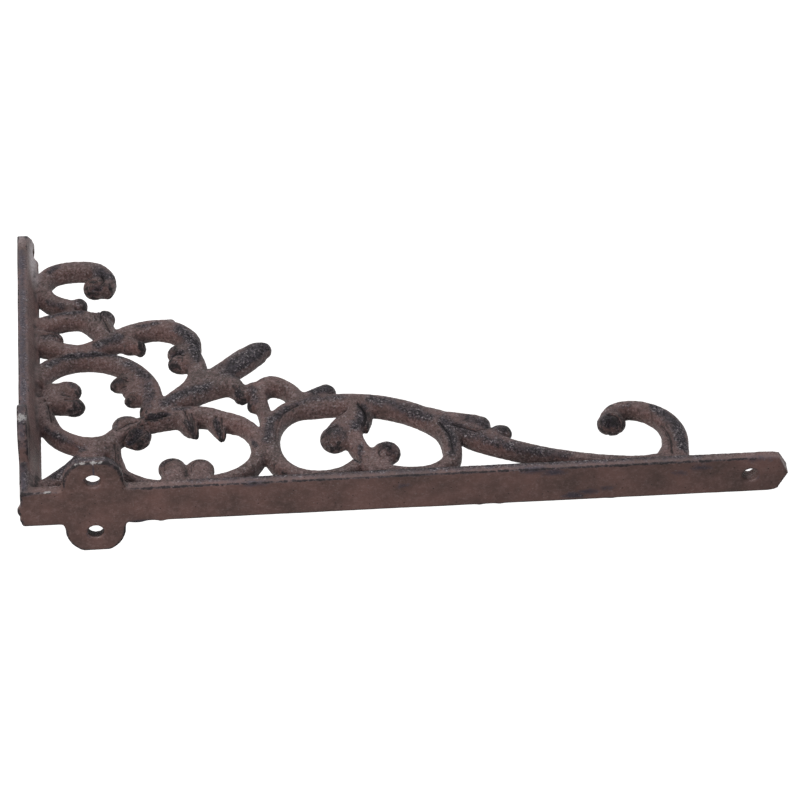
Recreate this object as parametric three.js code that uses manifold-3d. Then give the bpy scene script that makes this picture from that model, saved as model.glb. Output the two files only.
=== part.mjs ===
// A cast-iron plant hanger bracket, in millimetres.
// A long arm and a short leg, both flat flanges with a cross ear, meet at a right-angled heel. An openwork vine fills
// the corner between them, and a curled hook under the far end of the arm carries the plant. It is one casting.
// +X runs out from the wall along the arm, +Z is up, and the casting is the same on both sides of the plane Y = 0.
// The origin is on the wall face, midway between the two ear screws of the leg, which runs down the wall.
import * as THREE from "three";
import { mergeVertices } from "three/addons/utils/BufferGeometryUtils.js";
import Module from "manifold-3d";

const wasm = await Module();
wasm.setup();

// Flanges
const ARM_LENGTH = 315.6; // heel to the point of the arm
const LEG_LENGTH = 168; // heel to the point of the leg
const FLANGE_WIDTH = 18.8;
const EDGE_THICKNESS = 4.2; // along the flanges' edges and over the ears
const CROWN_THICKNESS = 7.1; // along the flanges' middle
const POINT_LENGTH = 3.2; // how far a flange's point stands beyond its corners
const CORNER_ROUNDING = 5.4; // length of the rounding that leads into those corners

// Ears and screw holes
const EAR_SPREAD = 49.6; // across both lobes of a cross ear
const EAR_BASE = 28; // length of an ear where it leaves the flange
const EAR_TIP = 11; // length of its flat end
const EAR_WAIST = 0.2; // where an ear's side turns outwards, as a share of the way from its foot to its tip
const EAR_HIP = 0.38; // where that side turns over towards the tip
const WAIST_REACH = 0.38; // how far out the waist is, as a share of the way from the flange's edge to the lobe's end
const HIP_REACH = 0.84; // the same for the hip
const ARM_EAR = 30; // heel to the middle of the arm's ear
const LEG_EAR = 30.8; // heel to the middle of the leg's ear
const SCREW_HOLE = 6.5; // diameter
const HOLE_SPACING = 28.3; // between the two holes of an ear
const ARM_END_HOLE = 15.8; // from the arm's point
const LEG_END_HOLE = 9.2; // from the leg's point

// The vine's ironwork
const STRAND_WIDTH = 8; // of the usual strand, seen from the side
const VINE_DEPTH = 8; // from front to back
const SCROLL_EYE_DEPTH = 9.6; // the same, at the rolled ends
const SMALL_LOBE_DEPTH = 6.8; // the same, at the smallest lobes
const RAIL_THICKNESS = 8.7; // flange and rail together, where the vine grows from them
const RAIL_WIDTH = 7;
const ARM_RAIL_SHARE = 0.865; // how far along the arm its rail runs: to the hook's root
const LEG_RAIL_SHARE = 0.925; // the same down the leg: to the crown scroll
const STRAND_PROPORTION = 1.25; // a strand is at most this much deeper than it is wide

// How finely the curved work is faceted
const STRAND_SIDES = 8;
const FACET_TURN = 17; // degrees a strand turns from one ring of its skin to the next
const LOBE_MERIDIANS = 10;
const LOBE_PARALLELS = 5;
const HOLE_SIDES = 16;
const SECTION_STEPS = 4; // to each curve of a flange's and a rail's section
const OUTLINE_STEPS = 8; // to each curve of an ear's outline
const SECTION_FULLNESS = 2.3; // 2 is an ellipse, and more is squarer

const DEEP = 40; // a length that reaches past the whole casting
const HALF_TURN = Math.PI;
const QUARTER_TURN = Math.PI / 2;

const mix = (a, b, share) => a + (b - a) * share;

// A closed geometry as a solid that can be joined and cut.
function solid(geometry) {
  const bare = geometry.clone();
  bare.deleteAttribute("normal");
  bare.deleteAttribute("uv");
  const merged = mergeVertices(bare, 1e-4);
  return new wasm.Manifold(
    new wasm.Mesh({
      numProp: 3,
      vertProperties: new Float32Array(merged.attributes.position.array),
      triVerts: new Uint32Array(merged.index.array),
    }),
  );
}

function join(solids) {
  return solids.reduce((whole, next) => whole.add(next));
}

function prism(shape, length) {
  return new THREE.ExtrudeGeometry(shape, {
    depth: length,
    bevelEnabled: false,
    curveSegments: SECTION_STEPS,
  });
}

// A flange lies with its heel at x = 0, its outer face in the plane z = 0 and its crown towards +z.
// One long side of its outline: out along the edge, round the ear's lobe and on to the point.
function flangeSide(length, ear) {
  const side = FLANGE_WIDTH / 2;
  const lobe = EAR_SPREAD / 2;
  const foot = EAR_BASE / 2;
  const tip = EAR_TIP / 2;
  const waist = mix(foot, tip, EAR_WAIST);
  const hip = mix(foot, tip, EAR_HIP);
  const waistOut = mix(side, lobe, WAIST_REACH);
  const hipOut = mix(side, lobe, HIP_REACH);
  const corner = length - POINT_LENGTH;
  const path = new THREE.Path();
  path.moveTo(0, side);
  path.lineTo(ear - foot, side);
  path.quadraticCurveTo(ear - waist, side, ear - waist, waistOut);
  path.quadraticCurveTo(ear - hip, hipOut, ear - tip, lobe);
  path.lineTo(ear + tip, lobe);
  path.quadraticCurveTo(ear + hip, hipOut, ear + waist, waistOut);
  path.quadraticCurveTo(ear + waist, side, ear + foot, side);
  path.lineTo(corner - CORNER_ROUNDING, side);
  path.quadraticCurveTo(corner, side, corner, side - CORNER_ROUNDING / 2);
  path.lineTo(length, 0);
  return path.getPoints(OUTLINE_STEPS);
}

function flangeOutline(length, ear) {
  const near = flangeSide(length, ear);
  const far = near.slice(0, -1).map(({ x, y }) => new THREE.Vector2(x, -y));
  return new THREE.Shape([...far, ...near.reverse()]);
}

// Section across a flange: thin at the edges, crowned in the middle so that it draws from the mould.
function flangeSection() {
  const side = FLANGE_WIDTH / 2;
  const shape = new THREE.Shape();
  shape.moveTo(-EAR_SPREAD, 0);
  shape.lineTo(EAR_SPREAD, 0);
  shape.lineTo(EAR_SPREAD, EDGE_THICKNESS);
  shape.lineTo(side, EDGE_THICKNESS);
  shape.quadraticCurveTo(0, 2 * CROWN_THICKNESS - EDGE_THICKNESS, -side, EDGE_THICKNESS);
  shape.lineTo(-EAR_SPREAD, EDGE_THICKNESS);
  return shape;
}

// The low rounded rail that the vine grows from.
function railSection() {
  const shape = new THREE.Shape();
  const top = RAIL_THICKNESS;
  const shoulder = (RAIL_THICKNESS + EDGE_THICKNESS) / 2;
  shape.moveTo(-RAIL_WIDTH / 2, EDGE_THICKNESS / 2);
  shape.lineTo(RAIL_WIDTH / 2, EDGE_THICKNESS / 2);
  shape.lineTo(RAIL_WIDTH / 2, shoulder);
  shape.quadraticCurveTo(0, 2 * top - shoulder, -RAIL_WIDTH / 2, shoulder);
  return shape;
}

// Extrusions run along z: this turns one whose section is (across, thickness) to run along x from the heel.
function layAlong(geometry) {
  return geometry.rotateX(QUARTER_TURN).rotateZ(QUARTER_TURN);
}

function flange(length, ear, railShare, place) {
  const plan = prism(flangeOutline(length, ear), DEEP);
  const crowned = layAlong(prism(flangeSection(), length + DEEP)).translate(-DEEP / 2, 0, 0);
  const rail = layAlong(prism(railSection(), length * railShare));
  return solid(place(plan)).intersect(solid(place(crowned))).add(solid(place(rail)));
}

// The vine is laid out in hundredths: out from the crest of the leg's rail to the arm's point, and down from the
// crest of the arm's rail to the leg's point. Widths are shares of the usual strand's.
function spot(out, down) {
  const x = mix(RAIL_THICKNESS, ARM_LENGTH, out / 100);
  const below = mix(RAIL_THICKNESS, LEG_LENGTH, down / 100);
  return new THREE.Vector3(x, 0, LEG_EAR - below);
}

// A strand's skin over its samples: rings of a rounded section, closed at both ends.
function skin(samples) {
  const points = [];
  const faces = [];
  const last = samples.length - 1;
  samples.forEach(({ centre, share }, i) => {
    const width = share * STRAND_WIDTH;
    const before = samples[Math.max(i - 1, 0)].centre;
    const after = samples[Math.min(i + 1, last)].centre;
    const ahead = after.clone().sub(before).normalize();
    const side = new THREE.Vector3(ahead.z, 0, -ahead.x);
    const depth = Math.min(VINE_DEPTH, width * STRAND_PROPORTION);
    for (let k = 0; k < STRAND_SIDES; k++) {
      const turn = (2 * HALF_TURN * k) / STRAND_SIDES;
      const across = rounded(Math.cos(turn)) * (width / 2);
      const through = rounded(Math.sin(turn)) * (depth / 2);
      points.push(centre.x + side.x * across, through, centre.z + side.z * across);
    }
  });
  const heart = samples.length * STRAND_SIDES;
  for (const end of [samples[0], samples[last]]) points.push(end.centre.x, 0, end.centre.z);
  for (let k = 0; k < STRAND_SIDES; k++) {
    const next = (k + 1) % STRAND_SIDES;
    for (let i = 0; i < last; i++) {
      const a = i * STRAND_SIDES;
      const b = a + STRAND_SIDES;
      faces.push(a + k, a + next, b + next, a + k, b + next, b + k);
    }
    faces.push(heart, next, k);
    faces.push(heart + 1, last * STRAND_SIDES + k, last * STRAND_SIDES + next);
  }
  const geometry = new THREE.BufferGeometry();
  geometry.setAttribute("position", new THREE.Float32BufferAttribute(points, 3));
  geometry.setIndex(faces);
  return solid(geometry);
}

function rounded(share) {
  return Math.sign(share) * Math.abs(share) ** (2 / SECTION_FULLNESS);
}

// A strand that flows through a few stations [out, down, share of the usual width].
function strand(stations) {
  const centres = stations.map(([out, down]) => spot(out, down));
  const curve = new THREE.CatmullRomCurve3(centres, false, "centripetal");
  const spans = stations.length - 1;
  const samples = [];
  for (let i = 0; i < spans; i++) {
    const turn = curve.getTangent(i / spans).angleTo(curve.getTangent((i + 1) / spans));
    const steps = Math.max(1, Math.round(THREE.MathUtils.radToDeg(turn) / FACET_TURN));
    for (let k = 0; k < steps; k++) {
      const way = k / steps;
      samples.push({
        centre: curve.getPoint((i + way) / spans),
        share: mix(stations[i][2], stations[i + 1][2], way),
      });
    }
  }
  samples.push({ centre: centres[spans], share: stations[spans][2] });
  return skin(samples);
}

// A strand that follows part of a squarish oval. Angles are in degrees, 0 points away from the wall and 90 down.
function oval({ heart, reach, from, to, width, widthEnd, square }) {
  const steps = Math.ceil(Math.abs(to - from) / FACET_TURN);
  const samples = [];
  for (let k = 0; k <= steps; k++) {
    const way = k / steps;
    const turn = THREE.MathUtils.degToRad(mix(from, to, way));
    const cos = Math.cos(turn);
    const sin = Math.sin(turn);
    const grow = (Math.abs(cos) ** square + Math.abs(sin) ** square) ** (-1 / square);
    samples.push({
      centre: spot(heart[0] + reach[0] * grow * cos, heart[1] + reach[1] * grow * sin),
      share: mix(width, widthEnd, way),
    });
  }
  return skin(samples);
}

// A rounded lobe of a leaf, or a rolled end: its middle and its reach [out, down], in hundredths.
function lobe([out, down], [along, high], turn = 0, depth = VINE_DEPTH) {
  const ball = new THREE.SphereGeometry(1, LOBE_MERIDIANS, LOBE_PARALLELS);
  const centre = spot(out, down);
  const corner = spot(out + along, down - high).sub(centre);
  ball.scale(corner.x, depth / 2, corner.z);
  ball.rotateY(THREE.MathUtils.degToRad(turn));
  ball.translate(centre.x, 0, centre.z);
  return solid(ball);
}

// The scroll nearest the leg's end, rolled up at its tip, and the shell leaf at its foot.
function crownScroll() {
  return [
    strand([
      [5, 71.1, 0.95],
      [3.1, 72.6, 0.95],
      [1.5, 74.7, 0.97],
      [0.5, 78.7, 1],
      [0.7, 82.5, 1.02],
      [2.2, 86, 1.05],
      [5.4, 87.2, 1.07],
      [8.3, 86, 1.05],
      [9.7, 81.6, 0.95],
      [9.2, 78.1, 0.82],
    ]),
    lobe([8, 79.9], [1.73, 3.26], 0, SCROLL_EYE_DEPTH),
    lobe([5.6, 72.5], [1.24, 2.39]),
    strand([
      [-0.4, 64.1, 1.12],
      [2.9, 66.5, 0.97],
      [5.8, 67, 1],
      [8.3, 63.7, 1.43],
      [9.5, 58.4, 1.12],
    ]),
    lobe([9.1, 66.8], [1.53, 2.76]),
    lobe([1.5, 59.3], [1.89, 2.51]),
    strand([
      [-0.6, 61, 0.88],
      [0.9, 58.4, 1.05],
    ]),
  ];
}

// The horn-shaped member: out from the rail, over and down to the heart of the panel, with its leaves.
function hornMember() {
  return [
    strand([
      [-0.4, 57.6, 1],
      [2.1, 55.3, 0.82],
      [5.6, 53.2, 0.95],
      [9.5, 56.3, 1.15],
      [12.6, 59.9, 1.1],
      [16.1, 61.6, 1.07],
      [18.9, 60.1, 1.1],
      [20.9, 55.9, 1.05],
      [21.1, 50.2, 0.93],
      [21.7, 44.5, 1],
      [21, 38.4, 1.05],
      [17.9, 32.1, 1],
    ]),
    strand([
      [17.7, 62.7, 0.75],
      [18.8, 64.8, 0.3],
    ]),
    lobe([12.3, 56], [1.82, 2.51], -30),
    lobe([13.9, 54.5], [0.85, 1.76]),
    lobe([19.2, 51.5], [1.6, 2.7]),
    lobe([19.5, 47.5], [1.9, 2.7]),
  ];
}

// The ring against the leg, with its leaf, its two-lobed bud and the stem that rises to it from the heel.
function wallRing() {
  return [
    strand([
      [-0.8, 42.4, 1.12],
      [1.5, 47.7, 1.05],
      [4.8, 50.2, 0.93],
      [8.5, 49.8, 0.95],
      [12, 46.4, 1.02],
      [14.4, 40.5, 1.1],
      [15.3, 34, 1.1],
      [14.9, 28.1, 1.12],
    ]),
    strand([
      [-0.4, 34.6, 1],
      [0.8, 26.8, 1.05],
      [2.3, 21.1, 0.93],
      [5.4, 17.3, 0.93],
      [8.7, 17.3, 1],
      [10.9, 21.1, 1],
    ]),
    strand([
      [-1, -0.2, 0.88],
      [1.6, 3.4, 0.97],
      [4.8, 8.9, 1.12],
      [7.7, 15.6, 1.5],
    ]),
    lobe([11.7, 23.6], [2.15, 3.89], -30),
    lobe([11.5, 40.9], [2.09, 2.13], 20),
    lobe([13.4, 34.8], [2.09, 2.01], 20),
    lobe([3.8, 38.4], [1.82, 3.26]),
    lobe([4.5, 32.7], [1.63, 2.64], -15),
    lobe([1.7, 37.1], [1.76, 4.65]),
    strand([
      [0.9, 34, 0.88],
      [4, 33.1, 0.75],
    ]),
    lobe([12.7, 20.3], [2.28, 2.82], 0, SCROLL_EYE_DEPTH),
  ];
}

// The wide ring that rests on the arm, with two drips above and two lobes below.
function restingRing() {
  return [
    oval({ heart: [19.7, 13.1], reach: [9.6, 12.8], from: 132, to: -112, width: 0.8, widthEnd: 0.8, square: 2.4 }),
    strand([
      [9.8, 19.4, 0.7],
      [9.9, 12.3, 0.68],
      [10.8, 5.5, 0.68],
      [13.4, 1.5, 0.7],
      [16.1, -0.6, 0.8],
    ]),
    strand([
      [14.2, 27.4, 1],
      [18.3, 27, 0.95],
      [22.5, 26.2, 1.05],
      [26.6, 22.6, 0.8],
    ]),
    strand([
      [19.8, 25.1, 0.75],
      [20.7, 21.7, 0.6],
      [20.8, 20.1, 0.3],
    ]),
    strand([
      [23.3, 24.5, 0.8],
      [24.2, 20.3, 0.62],
      [24.3, 18, 0.33],
    ]),
    strand([
      [17.6, 1.3, 1.25],
      [17.6, 6.4, 1.2],
    ]),
    strand([
      [21.1, 1.3, 1.25],
      [21.1, 5.7, 1.25],
    ]),
    lobe([17.6, 6.8], [1.82, 2.7]),
    lobe([21.2, 5.5], [1.96, 3.2]),
  ];
}

// The stem that ends in a long bud, and the leaf tips under it.
function budStem() {
  return [
    strand([
      [15.5, 29.6, 0.95],
      [19.4, 32.9, 0.95],
      [22.9, 36.7, 1.07],
      [26, 38, 1.05],
      [27.4, 35, 0.75],
    ]),
    strand([
      [21.4, 37.4, 1.12],
      [24.9, 42.2, 1.3],
      [28.2, 47.7, 1.36],
      [30.4, 51.1, 1.1],
    ]),
    lobe([30.6, 51.4], [1.5, 2.26]),
    lobe([27.5, 33.6], [1.11, 2.13], 0, SMALL_LOBE_DEPTH),
    lobe([29.2, 29.8], [1.11, 1.88], 0, SMALL_LOBE_DEPTH),
  ];
}

// The trunk between the two middle rings and the small arch over it.
function archedTrunk() {
  return [
    strand([
      [30.3, 12.5, 0.88],
      [30.6, 23, 0.68],
      [30.1, 30, 0.7],
      [29.8, 34.2, 1],
      [31.5, 37.1, 1.05],
      [33.8, 34.8, 0.8],
      [35.5, 28.9, 1],
    ]),
    lobe([29.4, 35.5], [1.63, 2.64]),
    strand([
      [36.2, 30, 1],
      [38.7, 33.1, 0.8],
    ]),
    lobe([39.2, 33.9], [1.37, 2.01], -35, SMALL_LOBE_DEPTH),
  ];
}

// The third ring and the long stem that runs on from its top to the second trunk and down onto the arm.
function longStem() {
  return [
    oval({ heart: [37.4, 14.4], reach: [6.5, 14.1], from: 95, to: 318, width: 1.12, widthEnd: 0.8, square: 2.2 }),
    strand([
      [35.6, 27.9, 1.12],
      [41.4, 28.5, 1.2],
      [47.1, 26.6, 1.2],
      [51.7, 22.2, 1.2],
      [54.5, 16.5, 1.07],
      [55.3, 9.7, 1],
      [54.8, 4, 0.95],
      [52.3, 0.7, 0.82],
      [49.2, 0.2, 0.8],
      [46.1, 1.5, 0.8],
    ]),
    strand([
      [50.6, 23.6, 1],
      [54.8, 20.1, 1.18],
      [58.9, 13.7, 1.18],
      [63.2, 8.7, 0.95],
      [68.1, 4.9, 0.82],
      [74.3, 1.7, 0.8],
      [80.5, 0.2, 0.82],
      [85, 1.1, 1],
    ]),
    strand([
      [55.2, 20.1, 1],
      [58.9, 18.2, 1.07],
    ]),
    lobe([59.3, 18], [1.69, 3.01]),
    lobe([62.1, 14.6], [1.63, 2.32]),
    strand([
      [59.5, 12.5, 0.88],
      [61.7, 13.9, 0.8],
    ]),
  ];
}

// The post inside the long stem's curve, with a leaf on one side and a ball on the other.
function middlePost() {
  return [
    strand([
      [44.9, 0.2, 1.18],
      [43.6, 7.6, 0.93],
      [42.4, 13.5, 0.95],
      [42.3, 18.8, 0.88],
      [43, 25.8, 1],
    ]),
    strand([
      [43.6, 29.3, 0.62],
      [44.3, 24.1, 0.62],
      [43.6, 18.8, 0.57],
    ]),
    strand([
      [42.8, 22.8, 0.75],
      [40.4, 19, 0.88],
    ]),
    lobe([39.9, 16.5], [2.02, 3.26], 20),
    lobe([40.2, 13.3], [1.04, 1.76], 0, SMALL_LOBE_DEPTH),
    strand([
      [45.7, 0.9, 1],
      [45.7, 7, 0.82],
    ]),
    lobe([46.5, 9.3], [1.73, 3.26], 0, SCROLL_EYE_DEPTH),
  ];
}

// The hook that carries the plant: it leaves the arm near its end and curls back to a ball.
function hook() {
  return [
    strand([
      [84.6, 0.2, 1.88],
      [85.4, 5.5, 1.4],
      [85.6, 11, 1.3],
      [84.5, 16.5, 1.15],
      [82.3, 20.1, 0.9],
      [80.1, 21.3, 0.8],
      [78, 20.3, 0.82],
      [77, 17.5, 1],
    ]),
    lobe([77.4, 16.4], [1.99, 3.14], 0, SCROLL_EYE_DEPTH),
  ];
}

// Bores for the screws, in the part's own frame: two in each ear and one near each point.
function screwHoles() {
  const drill = () => new THREE.CylinderGeometry(SCREW_HOLE / 2, SCREW_HOLE / 2, DEEP, HOLE_SIDES);
  const holes = [];
  for (const side of [-HOLE_SPACING / 2, HOLE_SPACING / 2]) {
    holes.push(drill().rotateX(QUARTER_TURN).translate(ARM_EAR, side, LEG_EAR));
    holes.push(drill().rotateZ(QUARTER_TURN).translate(0, side, 0));
  }
  holes.push(drill().rotateX(QUARTER_TURN).translate(ARM_LENGTH - ARM_END_HOLE, 0, LEG_EAR));
  holes.push(drill().rotateZ(QUARTER_TURN).translate(0, 0, LEG_EAR - LEG_LENGTH + LEG_END_HOLE));
  return holes.map(solid);
}

const arm = flange(ARM_LENGTH, ARM_EAR, ARM_RAIL_SHARE, (body) => {
  return body.rotateX(HALF_TURN).translate(0, 0, LEG_EAR);
});
const leg = flange(LEG_LENGTH, LEG_EAR, LEG_RAIL_SHARE, (body) => {
  return body.rotateY(QUARTER_TURN).translate(0, 0, LEG_EAR);
});
const vine = join([
  ...crownScroll(),
  ...hornMember(),
  ...wallRing(),
  ...restingRing(),
  ...budStem(),
  ...archedTrunk(),
  ...longStem(),
  ...middlePost(),
  ...hook(),
]);
const casting = screwHoles().reduce((body, hole) => body.subtract(hole), join([arm, leg, vine]));
const { vertProperties, triVerts } = casting.getMesh();

const bracketGeometry = new THREE.BufferGeometry();
bracketGeometry.setAttribute("position", new THREE.Float32BufferAttribute(vertProperties, 3));
bracketGeometry.setIndex(Array.from(triVerts));
bracketGeometry.computeVertexNormals();

const castIron = new THREE.MeshStandardMaterial({ color: 0x54463f, roughness: 0.62, metalness: 0.35 });
const bracket = new THREE.Mesh(bracketGeometry, castIron);
bracket.name = "bracket";

const plantHangerBracket = new THREE.Group();
plantHangerBracket.add(bracket);
export default plantHangerBracket;
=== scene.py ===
# A cast-iron plant hanger bracket, in metres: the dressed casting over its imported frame, and its stage.
# +X runs out from the wall along the arm, +Z is up, and the origin is on the wall face of the leg.
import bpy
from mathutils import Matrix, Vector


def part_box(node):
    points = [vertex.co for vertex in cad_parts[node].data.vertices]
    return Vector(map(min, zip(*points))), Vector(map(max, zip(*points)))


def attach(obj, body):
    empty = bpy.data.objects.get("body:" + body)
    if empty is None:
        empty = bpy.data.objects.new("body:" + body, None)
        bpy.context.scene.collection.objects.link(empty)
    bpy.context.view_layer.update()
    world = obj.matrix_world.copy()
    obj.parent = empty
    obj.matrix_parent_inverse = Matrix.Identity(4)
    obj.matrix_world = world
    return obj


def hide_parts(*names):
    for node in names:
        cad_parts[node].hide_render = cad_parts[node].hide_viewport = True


bl_info = {
    "name": "Plant hanger bracket",
    "version": (1, 0, 0),
    "blender": (4, 5, 0),
    "location": "3D View > Sidebar > Bracket",
    "description": "Makes the painted iron casting of a plant hanger bracket, and the stage it is shown on",
    "category": "Object",
}

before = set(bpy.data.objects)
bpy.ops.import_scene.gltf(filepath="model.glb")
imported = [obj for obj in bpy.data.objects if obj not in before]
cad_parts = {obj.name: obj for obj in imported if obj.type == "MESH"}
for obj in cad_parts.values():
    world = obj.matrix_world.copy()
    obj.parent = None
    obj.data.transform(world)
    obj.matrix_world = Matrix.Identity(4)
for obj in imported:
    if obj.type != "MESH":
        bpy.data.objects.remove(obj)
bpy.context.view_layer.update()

import math
from functools import partial

import bmesh
import bpy
import numpy as np
from bpy.props import FloatProperty, IntProperty, PointerProperty, StringProperty
from mathutils import Matrix, Vector

LOW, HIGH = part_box("bracket")
ARM_LENGTH = HIGH.x  # heel to the arm's point
ARM_FACE = HIGH.z  # height of the arm's outer face over the origin
LEG_LENGTH = HIGH.z - LOW.z  # heel to the leg's point
MM = 0.001
RAIL = 8.7 * MM  # flange and rail together, where the vine grows from them
STRAND_WIDTH = 8 * MM
VINE_DEPTH = 8 * MM
SCROLL_EYE_DEPTH = 9.6 * MM
SMALL_LOBE_DEPTH = 6.8 * MM
HEEL_HALF_WIDTH = 9.5 * MM
STRAND_PROPORTION = 1.25  # a strand is at most this much deeper than it is wide
FLANGE = 4.4 * MM  # behind it the rails and the vine begin
WAVE_LENGTH = 14 * MM
GRAIN_LENGTH = 1.8 * MM
TRIANGLES = 190000

# The vine, as in the solid: strands as stations (out, down, share of the usual width), in hundredths from
# the rails' crests to the points of the arm and the leg.
STRANDS = {
    "crown scroll": (
        (5, 71.1, 0.95), (3.1, 72.6, 0.95), (1.5, 74.7, 0.97), (0.5, 78.7, 1), (0.7, 82.5, 1.02),
        (2.2, 86, 1.05), (5.4, 87.2, 1.07), (8.3, 86, 1.05), (9.7, 81.6, 0.95), (9.2, 78.1, 0.82),
    ),
    "shell leaf": (
        (-0.4, 64.1, 1.12), (2.9, 66.5, 0.97), (5.8, 67, 1), (8.3, 63.7, 1.43), (9.5, 58.4, 1.12),
    ),
    "shell foot": ((-0.6, 61, 0.88), (0.9, 58.4, 1.05)),
    "horn": (
        (-0.4, 57.6, 1), (2.1, 55.3, 0.82), (5.6, 53.2, 0.95), (9.5, 56.3, 1.15),
        (12.6, 59.9, 1.1), (16.1, 61.6, 1.07), (18.9, 60.1, 1.1), (20.9, 55.9, 1.05),
        (21.1, 50.2, 0.93), (21.7, 44.5, 1), (21, 38.4, 1.05), (17.9, 32.1, 1),
    ),
    "horn tip": ((17.7, 62.7, 0.75), (18.8, 64.8, 0.3)),
    "wall ring": (
        (-0.8, 42.4, 1.12), (1.5, 47.7, 1.05), (4.8, 50.2, 0.93), (8.5, 49.8, 0.95), (12, 46.4, 1.02),
        (14.4, 40.5, 1.1), (15.3, 34, 1.1), (14.9, 28.1, 1.12),
    ),
    "wall ring foot": (
        (-0.4, 34.6, 1), (0.8, 26.8, 1.05), (2.3, 21.1, 0.93), (5.4, 17.3, 0.93),
        (8.7, 17.3, 1), (10.9, 21.1, 1),
    ),
    "heel stem": ((-1, -0.2, 0.88), (1.6, 3.4, 0.97), (4.8, 8.9, 1.12), (7.7, 15.6, 1.5)),
    "bud link": ((0.9, 34, 0.88), (4, 33.1, 0.75)),
    "resting ring side": (
        (9.8, 19.4, 0.7), (9.9, 12.3, 0.68), (10.8, 5.5, 0.68), (13.4, 1.5, 0.7), (16.1, -0.6, 0.8),
    ),
    "resting ring crest": ((14.2, 27.4, 1), (18.3, 27, 0.95), (22.5, 26.2, 1.05), (26.6, 22.6, 0.8)),
    "first drip": ((19.6, 25, 1), (20.2, 22.2, 0.78), (20.8, 20, 0.46), (21, 18.8, 0.25)),
    "second drip": ((23.5, 24.5, 0.9), (24.1, 21.3, 0.7), (24.4, 18.6, 0.45), (24.4, 17.2, 0.25)),
    "first foot": ((17.6, 1.3, 1.25), (17.6, 6.4, 1.2)),
    "second foot": ((21.1, 1.3, 1.25), (21.1, 5.7, 1.25)),
    "bud stem": (
        (15.5, 29.6, 0.95), (19.4, 32.9, 0.95), (22.9, 36.7, 1.07), (26, 38, 1.05), (27.4, 35, 0.75),
    ),
    "bud": ((21.4, 37.4, 1.12), (24.9, 42.2, 1.3), (28.2, 47.7, 1.36), (30.4, 51.1, 1.1)),
    "first trunk": (
        (30.3, 12.5, 0.88), (30.6, 23, 0.68), (30.1, 30, 0.7), (29.8, 34.2, 1), (31.5, 37.1, 1.05),
        (33.8, 34.8, 0.8), (35.5, 28.9, 1),
    ),
    "arch leaf": ((36.2, 30, 1), (38.7, 33.1, 0.8)),
    "long stem": (
        (35.6, 27.9, 1.12), (41.4, 28.5, 1.2), (47.1, 26.6, 1.2), (51.7, 22.2, 1.2), (54.5, 16.5, 1.07),
        (55.3, 9.7, 1), (54.8, 4, 0.95), (52.3, 0.7, 0.82), (49.2, 0.2, 0.8), (46.1, 1.5, 0.8),
    ),
    "trailing stem": (
        (50.6, 23.6, 1), (54.9, 19.4, 1.27), (58.9, 13.1, 1.28), (63.2, 8.5, 1), (68.1, 4.9, 0.82),
        (74.3, 1.7, 0.8), (80.5, 0.2, 0.82), (85, 1.1, 1),
    ),
    "stem leaf": ((55.2, 20.1, 1), (58.9, 18.2, 1.07)),
    "stem leaf foot": ((59.5, 12.5, 0.88), (61.7, 13.9, 0.8)),
    "post": ((44.9, 0.2, 1.18), (43.6, 7.6, 0.93), (42.4, 13.5, 0.95), (42.3, 18.8, 0.88), (43, 25.8, 1)),
    "post curl": ((43.6, 29.3, 0.62), (44.3, 24.1, 0.62), (43.6, 18.8, 0.57)),
    "post leaf": ((43, 23.6, 1.1), (41.4, 19.6, 1.6), (40.3, 17, 1.5)),
    "ball stalk": ((45.7, 0.9, 1), (45.7, 7, 0.82)),
    "hook rim": ((85.9, 2, 0.5), (86.2, 8, 0.5), (85.6, 13.8, 0.45), (84.4, 18, 0.35)),
    "hook": (
        (84.6, 0.2, 1.88), (85.4, 5.5, 1.4), (85.6, 11, 1.3), (84.5, 16.5, 1.15), (82.3, 20.1, 0.9),
        (80.1, 21.3, 0.8), (78, 20.3, 0.82), (77, 17.5, 1),
    ),
}

# The two squarish rings: middle, reach, first and last angle in degrees (90 is down), widths, squareness.
RINGS = {
    "resting ring": ((19.7, 13.1), (9.6, 12.8), (132, -112), (0.8, 0.8), 2.4),
    "third ring": ((37.4, 14.4), (6.5, 14.1), (95, 318), (1.12, 0.8), 2.2),
}

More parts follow.
